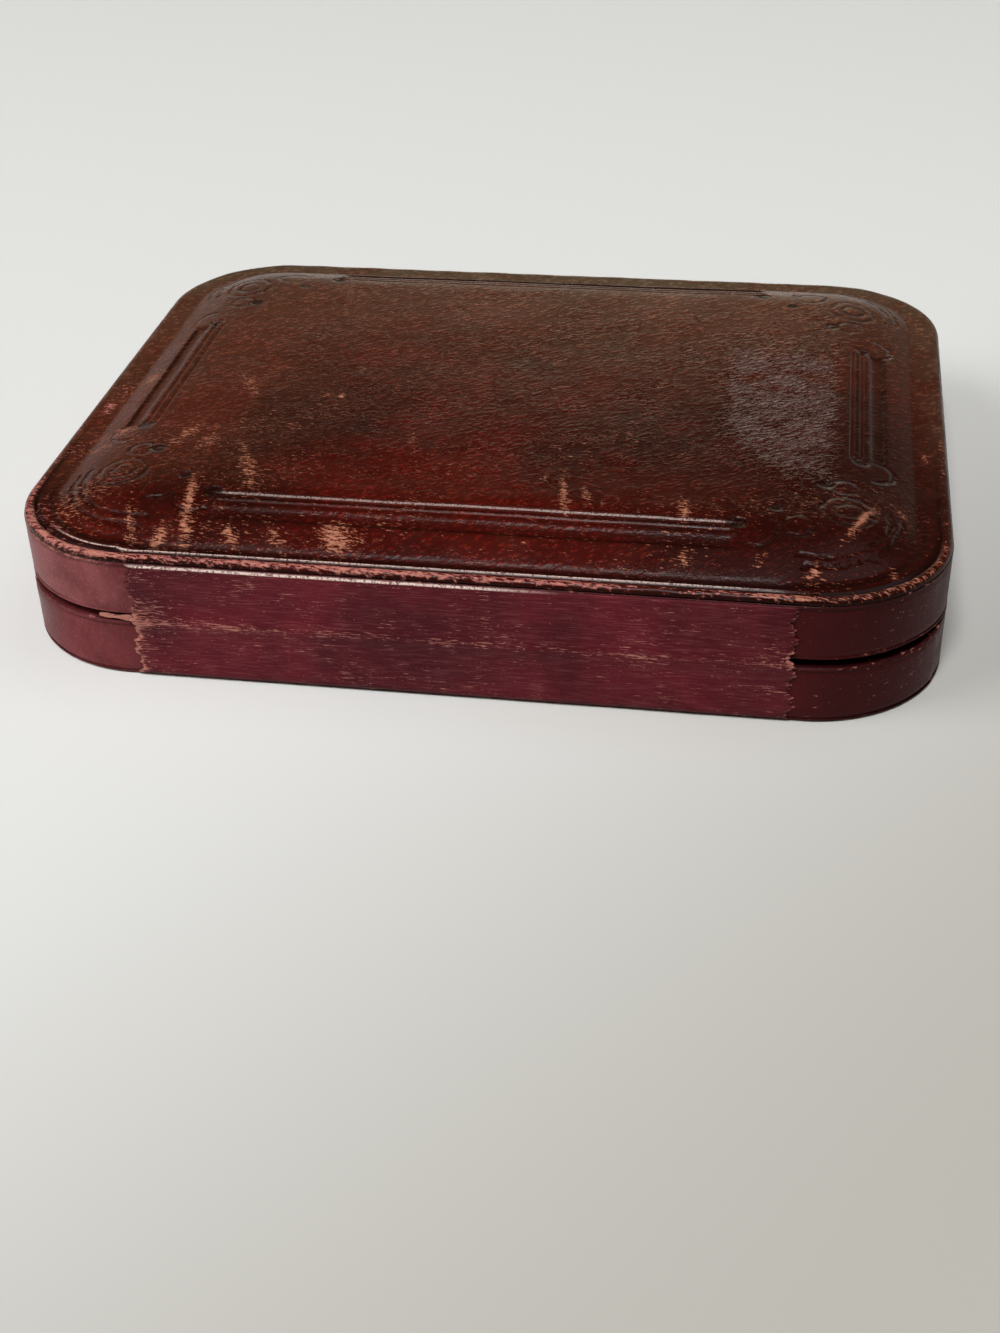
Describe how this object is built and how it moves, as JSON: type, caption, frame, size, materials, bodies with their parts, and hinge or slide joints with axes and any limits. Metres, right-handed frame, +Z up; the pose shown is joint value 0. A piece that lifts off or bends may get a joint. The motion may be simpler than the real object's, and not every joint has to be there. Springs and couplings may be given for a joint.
{
  "type": "leather jewellery case",
  "caption": "Low rectangular leather-covered jewellery case with rounded corners, a hinged padded lid with a tooled border, a push-button catch, and a velvet insert with wells for jewels.",
  "frame": {"origin": "middle of the underside, on the surface that the case rests on", "axes": "+Z up, +Y towards the leather spine and the hinges, -Y towards the push button, +X along the case's width"},
  "size_m": [0.15, 0.1228, 0.0254],
  "materials": {
    "leather": "worn dark red morocco, satin",
    "wood": "planed softwood",
    "card": "matt millboard",
    "lining_paper": "matt dark red lining paper",
    "velvet": "deep red velvet pile",
    "satin": "ivory satin, padded",
    "wadding": "cotton wadding",
    "brass": "aged, polished where touched",
    "spring_steel": "blued strip"
  },
  "bodies": {
    "base": {"base_wall": "wood", "base_board": "wood", "base_side_leather": "leather", "base_bottom_leather": "leather", "base_lining": "lining_paper", "insert_former": "card", "base_velvet": "velvet", "spine_lower": "leather", "hinge_base_leaf_left": "brass", "hinge_base_leaf_right": "brass", "hinge_pin_left": "brass", "hinge_pin_right": "brass", "hinge_base_nails": "brass", "catch_plate": "brass", "catch_plate_screws": "brass", "latch_spring": "spring_steel", "button_collar": "brass"},
    "lid": {"lid_wall": "wood", "lid_board": "wood", "lid_wadding": "wadding", "lid_top_leather": "leather", "lid_side_leather": "leather", "lid_lining": "lining_paper", "lid_pad_board": "card", "lid_satin_pad": "satin", "spine_upper": "leather", "hinge_lid_leaf_left": "brass", "hinge_lid_leaf_right": "brass", "hinge_lid_nails": "brass", "catch_hook": "brass", "catch_hook_screws": "brass"},
    "button": {"push_button": "brass", "latch": "brass"}
  },
  "joints": [
    {"name": "lid_hinge", "type": "hinge", "parent": "base", "child": "lid", "pos_m": [0, 0.05975, 0.0106], "axis": [-1, 0, 0], "range_deg": [0, 95]},
    {"name": "button_press", "type": "slide", "parent": "base", "child": "button", "axis": [0, 1, 0], "range_m": [0, 0.001], "stiffness_N_per_m": 400, "springref_m": -0.001, "deforming": ["latch_spring"]}
  ]
}
